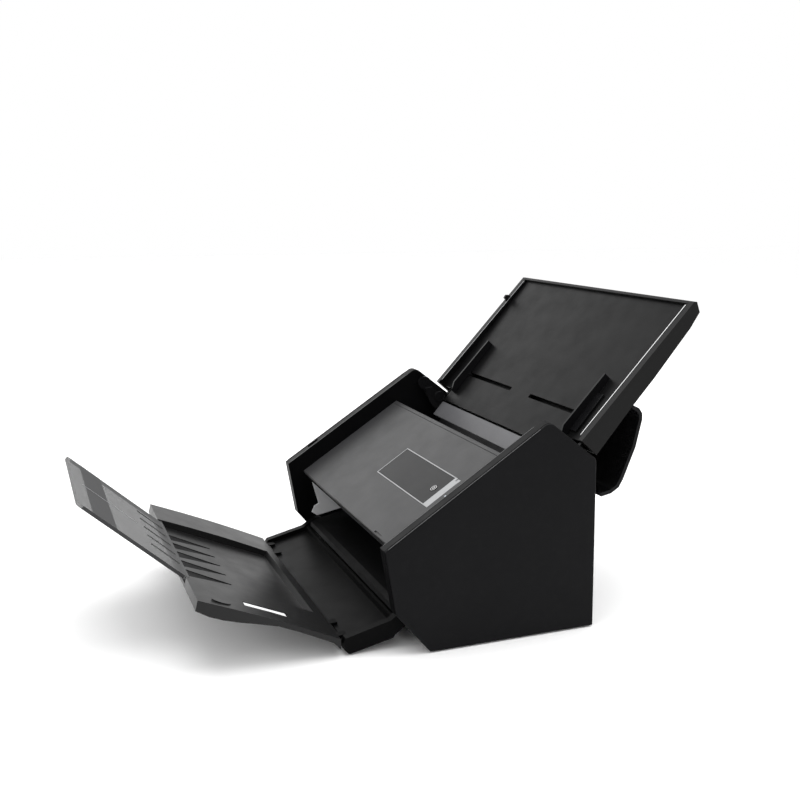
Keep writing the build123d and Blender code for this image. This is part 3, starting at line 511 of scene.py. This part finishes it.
plasticLooks = {
    # colour, roughness and its unevenness, mottling, height and scale of the grain, shine, marks
    "sideBlack": ((0.0035, 0.0035, 0.004), 0.50, 0.05, 0.08, 0.22, 2400, 0.08, 0.003),
    "frameBlack": ((0.0022, 0.0022, 0.0025), 0.42, 0.05, 0.06, 0.15, 2600, 0.06, 0.002),
    "coverGrey": ((0.032, 0.032, 0.033), 0.42, 0.04, 0.04, 0.18, 3000, 0.18, 0.006),
    "windowGrey": ((0.014, 0.014, 0.0145), 0.34, 0.03, 0.03, 0.04, 3000, 0.08, 0.006),
    "lightPlate": ((0.60, 0.61, 0.62), 0.45, 0.04, 0.03, 0.15, 2600, 0.40, 0.03),
    "trayGrey": ((0.0045, 0.0045, 0.0047), 0.40, 0.05, 0.06, 0.20, 2400, 0.07, 0.003),
    "trayShell": ((0.005, 0.005, 0.005), 0.42, 0.015, 0.03, 0.15, 2400, 0.12, 0.003),
    "glossBlack": ((0.006, 0.006, 0.0065), 0.22, 0.04, 0.05, 0.03, 2400, 0.09, 0.003),
    "insideBlack": ((0.0015, 0.0015, 0.0017), 0.55, 0.06, 0.10, 0.30, 1800, 0.05, 0.002),
    "flapGrey": ((0.010, 0.010, 0.0102), 0.33, 0.04, 0.06, 0.10, 2400, 0.17, 0.003),
    "flapDark": ((0.0025, 0.0025, 0.0026), 0.40, 0.04, 0.06, 0.10, 2400, 0.03, 0.002),
    "silverPaint": ((0.27, 0.275, 0.28), 0.35, 0.04, 0.03, 0.08, 5000, 0.50, 0.02),
    "chuteGrey": ((0.10, 0.10, 0.105), 0.40, 0.04, 0.05, 0.15, 2600, 0.20, 0.02),
    # painted light: a lighter copy of lightPlate, brightened to make up for the shade the path side plates
    # sit in
    "sidePlate": ((0.85, 0.85, 0.86), 0.45, 0.04, 0.03, 0.15, 2600, 0.40, 0.02),
    # painted highlight: the colour of the light lines laid along the rims' edges
    "rimGrey": ((0.11, 0.11, 0.112), 0.45, 0.04, 0.02, 0.05, 2600, 0.15, 0.01),
    "bandSmoke": ((0.085, 0.085, 0.086), 0.50, 0.04, 0.03, 0.04, 2600, 0.0, 0.01),
    "bushPlastic": ((0.68, 0.66, 0.58), 0.40, 0.04, 0.03, 0.05, 2600, 0.50, 0.03),
    "chipBlack": ((0.02, 0.02, 0.021), 0.60, 0.05, 0.10, 0.40, 3500, 0.40, 0.05),
    "lampClear": ((0.55, 0.6, 0.66), 0.15, 0.03, 0.02, 0.02, 2600, 0.70, 0.0),
    "inlayWhite": ((0.80, 0.80, 0.80), 0.50, 0.04, 0.02, 0.10, 2600, 0.50, 0.01),
    "printGrey": ((0.34, 0.34, 0.35), 0.50, 0.04, 0.02, 0.05, 2600, 0.50, 0.01),
}
rubberLooks = {
    # colour, roughness, scale of the grain
    "rollerRubber": ((0.055, 0.055, 0.06), 0.85, 1500),
    "beltRubber": ((0.015, 0.015, 0.015), 0.80, 900),
    "footRubber": ((0.02, 0.02, 0.02), 0.90, 1300),
}
metalLooks = {
    # colour, roughness, stretch of the drawing lines, marks
    "steel": ((0.62, 0.61, 0.60), 0.28, (1.0, 60.0, 60.0), 0.1),
    "zincSheet": ((0.50, 0.50, 0.48), 0.40, (6.0, 6.0, 6.0), 0.3),
}
finishes = {"smokedClear": smokedClear(), "boardLaminate": boardLaminate(), "sensorGlass": sensorGlass()}
for maker, looks in ((plastic, plasticLooks), (rubber, rubberLooks), (metal, metalLooks)):
    for name, look in looks.items():
        finishes[name] = maker(name, *look)

nodeFinish = {
    "sideBlack": ("right_side_cover", "left_side_cover", "bottom_cover", "rear_panel"),
    "frameBlack": ("right_side_frame", "left_side_frame"),
    "coverGrey": ("cover_shell",),
    "windowGrey": ("screen_glass",),
    "chuteGrey": ("feed_chute",),
    "lightPlate": ("lower_guide", "upper_side_plates"),
    # painted light: the path side plates get the brightened copy of the light plate
    "sidePlate": ("path_side_plates",),
    "trayGrey": ("tray_pan",),
    "trayShell": ("tray_cover",),
    "glossBlack": (
        "chute_cheeks", "hinge_arms", "tray_pivot_pins", "side_rails", "rear_hood", "touch_button",
        "left_guide", "right_guide",
    ),
    "insideBlack": (
        "exit_deck", "upper_guide", "feed_lip", "power_inlet", "display_panel", "lower_image_sensor",
        "upper_image_sensor",
    ),
    "flapGrey": ("middle_flap",),
    "flapDark": ("lower_flap",),
    "silverPaint": ("screen_trim",),
    "steel": (
        "housing_screws", "pivot_pins", "hood_pins", "flap_hinge_pins", "stop_pins", "usb_socket",
        "pick_shaft", "feed_shaft", "exit_shaft", "motor_rotor",
    ),
    "zincSheet": ("drive_motor",),
    "rollerRubber": (
        "pick_rollers", "feed_rollers", "exit_rollers", "separation_roller", "upper_feed_roller",
        "upper_exit_roller",
    ),
    "beltRubber": ("drive_belt",),
    "footRubber": ("rubber_feet",),
    "bushPlastic": ("shaft_bushings", "guide_pinion"),
    "chipBlack": ("board_parts", "button_switch"),
    "lampClear": ("status_lamp",),
    "smokedClear": ("paper_stop",),
    "boardLaminate": ("main_board",),
    "sensorGlass": ("lower_sensor_glass", "upper_sensor_glass"),
}
for finishName, nodes in nodeFinish.items():
    for node in nodes:
        part = frame["nodes"][node]
        part.data.materials.clear()
        part.data.materials.append(finishes[finishName])
print("finishes are on the frame's parts")


bodyOf = {node: body for body, nodes in frame["record"]["behaviour"]["bodies"].items() for node in nodes}

softEdges = {  # width of the rounded edge, and the parts that get it
    0.5: ("right_side_cover", "left_side_cover", "cover_shell", "tray_cover", "middle_flap", "lower_flap"),
    0.3: ("right_side_frame", "left_side_frame", "rear_hood", "left_guide", "right_guide", "chute_cheeks"),
    0.2: ("side_rails", "feed_lip", "path_side_plates", "rubber_feet", "touch_button"),
}
# weld in metres; facets that turn less than flat become one face, edges that turn more than angle are rounded
softSet = {"weld": 0.000002, "flat": 0.5, "segments": 2, "angle": 38}


def softCopy(node, width):
    # the part's own shape with its sharp edges rounded as a mould leaves them
    part = frame["nodes"][node]
    mesh = part.data.copy()
    mesh.name = node + "Soft"
    piece = linkPiece(node + "Soft", mesh)
    bpy.ops.object.mode_set(mode="EDIT")
    bpy.ops.mesh.select_all(action="SELECT")
    bpy.ops.mesh.remove_doubles(threshold=softSet["weld"])
    bpy.ops.mesh.dissolve_limited(angle_limit=radians(softSet["flat"]))
    bpy.ops.object.mode_set(mode="OBJECT")
    roundEdges(piece, width, softSet["segments"], softSet["angle"])
    finish(piece, bodyOf[node], part.data.materials[0])
    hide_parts(node)


for width, nodes in softEdges.items():
    for node in nodes:
        softCopy(node, width)
print("edges are softened")


machineShift = (44.884, 1.0)  # y and z from the machine's own drawing to the frame
planes = {  # a point of each sloping plane, in the machine's y and z, and its tilt in degrees
    "rim": {"at": (-73.0, 84.5), "tilt": 33.15},
    "cover": {"at": (-58.5, 77.0), "tilt": 33.2},
    "tray": {"at": (90.3, 155.4), "tilt": 47.0},
    "flap": {"at": (-208.8, 59.7), "tilt": -23.46},
    "chute": {"at": (76.86, 126.86), "tilt": 49.0},
}


def machinePoint(y, z):
    return Vector((0, y + machineShift[0], z + machineShift[1])) * mm


def slope(name):
    # local x across the machine, local y up the slope, local z out of it
    plane = planes[name]
    return Matrix.Translation(machinePoint(*plane["at"])) @ Matrix.Rotation(radians(plane["tilt"]), 4, "X")


def lay(piece, place, body, finishName):
    placePiece(piece, place)
    finish(piece, body, finishes[finishName])


rimSet = {
    "run": (3.0, 152.0),
    # the first and last bands are painted highlights on the rim's edges, the middle one is the dark joint
    "bands": ((144.2, 0.35, "rimGrey"), (142.25, 0.6, "insideBlack"), (133.6, 0.5, "rimGrey")),
    "height": 0.16,
    "lift": 0.02,
}


def addRimLines():
    # painted highlights along the outer edge and the inner edge of each wall's rim, with the dark joint
    # between cover and frame between them
    low, high = rimSet["run"]
    for side, word in ((1, "right"), (-1, "left")):
        for band, (x, width, finishName) in enumerate(rimSet["bands"]):
            size = (width, high - low, rimSet["height"])
            piece = slab(word + "RimLine" + str(band), size, (side * x, (low + high) / 2, rimSet["lift"]))
            lay(piece, slope("rim"), "housing", finishName)


slotInlay = {"size": (6.6, 34.4, 0.9), "centre": (106.5, 58.0, 0.2), "edge": 0.25}


def addSlotInlay():
    piece = slab("slotInlay", slotInlay["size"], slotInlay["centre"])
    roundEdges(piece, slotInlay["edge"])
    lay(piece, slope("flap"), "flap_two", "inlayWhite")


stopMarks = {
    "pin": (3.2, -2.6),  # along the second flap and out of it
    "tilt": 41.6,
    "half": 73.2,
    "band": (68.0, 90.0),
    "face": 1.4,
    "height": 0.16,
    "line": (39.0, 93.0),
    "lineX": -2.0,
    "lineWidth": 0.5,
    "edge": (4.0, 98.0),
    "edgeX": 73.5,
    "edgeSize": (0.16, 2.6),
}


def stopPlace():
    # the stop lies on its pin at the second flap's front edge and leans towards the machine
    along, out = stopMarks["pin"]
    tilt = radians(planes["flap"]["tilt"])
    y, z = planes["flap"]["at"]
    pin = machinePoint(y + along * cos(tilt) - out * sin(tilt), z + along * sin(tilt) + out * cos(tilt))
    turned = Matrix.Rotation(pi, 4, "Z") @ Matrix.Rotation(radians(stopMarks["tilt"]), 4, "X")
    return Matrix.Translation(pin) @ turned


def addStopMarks():
    # the darker cross band, the fine centre line and the dark edges of the clear plate
    place = stopPlace()
    height = stopMarks["height"]
    top = stopMarks["face"] + height / 2
    low, high = stopMarks["band"]
    band = slab("stopBand", (2 * stopMarks["half"], high - low, height), (0, (low + high) / 2, top))
    lay(band, place, "stop", "bandSmoke")
    low, high = stopMarks["line"]
    lineSize = (stopMarks["lineWidth"], high - low, height)
    line = slab("stopLine", lineSize, (stopMarks["lineX"], (low + high) / 2, top + height))
    lay(line, place, "stop", "printGrey")
    low, high = stopMarks["edge"]
    thick, tall = stopMarks["edgeSize"]
    for side, word in ((1, "left"), (-1, "right")):
        centre = (side * stopMarks["edgeX"], (low + high) / 2, 0)
        edge = slab(word + "StopEdge", (thick, high - low, tall), centre)
        lay(edge, place, "stop", "chipBlack")


# places and sizes of the painted shade wedges in the flap's grooves
grooveShadeSet = {
    "xs": (-46.0, -23.0, 0.0, 23.0, 46.0),
    "wide": 7.8,
    "narrow": 0.9,
    "run": (5.6, 45.5),
    "floor": -5.55,
    "depth": 0.25,
}


def addGrooveShade():
    # painted shade: dark wedges laid on the floors of the grooves that take the stop's ribs, standing in for
    # the shade inside them
    low, high = grooveShadeSet["run"]
    wide, narrow = grooveShadeSet["wide"], grooveShadeSet["narrow"]
    wedges = []
    for x in grooveShadeSet["xs"]:
        outline = [(x - wide, low), (x + wide, low), (x + narrow, high), (x - narrow, high)]
        wedges.append(outlinePiece("grooveShadeWedge", outline, grooveShadeSet["depth"]))
    piece = joinPieces(wedges, "grooveShadeWedges")
    drop = Matrix.Translation((0, 0, grooveShadeSet["floor"] * mm))
    lay(piece, slope("flap") @ drop, "flap_two", "insideBlack")


# painted highlights on the tray rails' top edges
railHighlight = {"x": 137.45, "run": (5.0, 141.0), "width": 0.7, "height": 0.2, "edge": 0.08}


def addRailHighlights():
    # painted highlights: a white line along the right rail's inner top edge and a silver line along the left
    # rail, where the rails catch the light
    low, high = railHighlight["run"]
    size = (railHighlight["width"], high - low, railHighlight["height"])
    for side, word, finishName in ((1, "right", "inlayWhite"), (-1, "left", "silverPaint")):
        piece = slab(word + "RailHighlight", size, (side * railHighlight["x"], (low + high) / 2, 0))
        roundEdges(piece, railHighlight["edge"])
        lay(piece, slope("tray"), "tray", finishName)


buttonMark = {
    "at": (81.0, 61.0),
    "radii": (2.9, 1.25),
    "wire": 0.16,
    "face": 0.3,
    "segments": (48, 8),
    "smooth": 35,
    "bar": (0.3, 1.5, 0.3),
    "barUp": 1.1,
}


def addButtonMark():
    # a bright ring round the cap and a plain power sign on it
    x, y = buttonMark["at"]
    face = buttonMark["face"]
    around, across = buttonMark["segments"]
    strokes = []
    for radius in buttonMark["radii"]:
        deselectAll()
        bpy.ops.mesh.primitive_torus_add(
            major_radius=radius * mm, minor_radius=buttonMark["wire"] * mm, major_segments=around,
            minor_segments=across, location=(x * mm, y * mm, face * mm),
        )
        strokes.append(bpy.context.object)
        bpy.ops.object.transform_apply(location=True, rotation=True, scale=True)
    strokes.append(slab("powerBar", buttonMark["bar"], (x, y + buttonMark["barUp"], face)))
    piece = joinPieces(strokes, "buttonMark")
    bpy.ops.object.shade_smooth_by_angle(angle=radians(buttonMark["smooth"]))
    lay(piece, slope("cover"), "button", "inlayWhite")


chuteArrow = {"x": 84.0, "half": 9.0, "run": (3.5, 13.0), "width": 0.5, "height": 0.14}


def addChuteArrow():
    # a thin outline of an arrowhead that points the way the paper goes in
    low, high = chuteArrow["run"]
    x, half = chuteArrow["x"], chuteArrow["half"]
    corners = [(x, low), (x + half, high), (x - half, high)]
    strokes = []
    for (x0, y0), (x1, y1) in zip(corners, corners[1:] + corners[:1]):
        run = Vector((x1 - x0, y1 - y0))
        stroke = slab("stroke", (run.length, chuteArrow["width"], chuteArrow["height"]))
        turn = Matrix.Rotation(atan2(run.y, run.x), 4, "Z")
        centre = Vector(((x0 + x1) / 2, (y0 + y1) / 2, chuteArrow["height"] / 2)) * mm
        placePiece(stroke, Matrix.Translation(centre) @ turn)
        strokes.append(stroke)
    piece = joinPieces(strokes, "chuteArrow")
    lay(piece, slope("chute"), "housing", "chipBlack")


boardRows = {
    "rows": (20.0, 46.0, 82.0),
    "count": 20,
    "start": -86,
    "pitch": 9.0,
    "stagger": 3,
    "top": 17.4,
    "size": (2.6, 1.3, 0.9),
}


def addBoardDetail():
    # rows of small resistors and capacitors between the larger parts of the board
    z = boardRows["top"] + boardRows["size"][2] / 2
    chips = []
    for row, y in enumerate(boardRows["rows"]):
        for k in range(boardRows["count"]):
            x = boardRows["start"] + boardRows["pitch"] * k + boardRows["stagger"] * row
            chips.append(slab("chip", boardRows["size"], (x, y + machineShift[0], z)))
    piece = joinPieces(chips, "boardResistors")
    finish(piece, "housing", finishes["chipBlack"])


plateLabel = {"size": (64.0, 30.0, 0.2), "place": (70.0, 92.0, 1.1)}


def addPlateLabel():
    # a blank label under the machine
    piece = slab("baseLabel", plateLabel["size"], plateLabel["place"])
    finish(piece, "housing", finishes["inlayWhite"])


addRimLines()
addSlotInlay()
addStopMarks()
addGrooveShade()
addRailHighlights()
addButtonMark()
addChuteArrow()
addBoardDetail()
addPlateLabel()
print("small pieces are on")
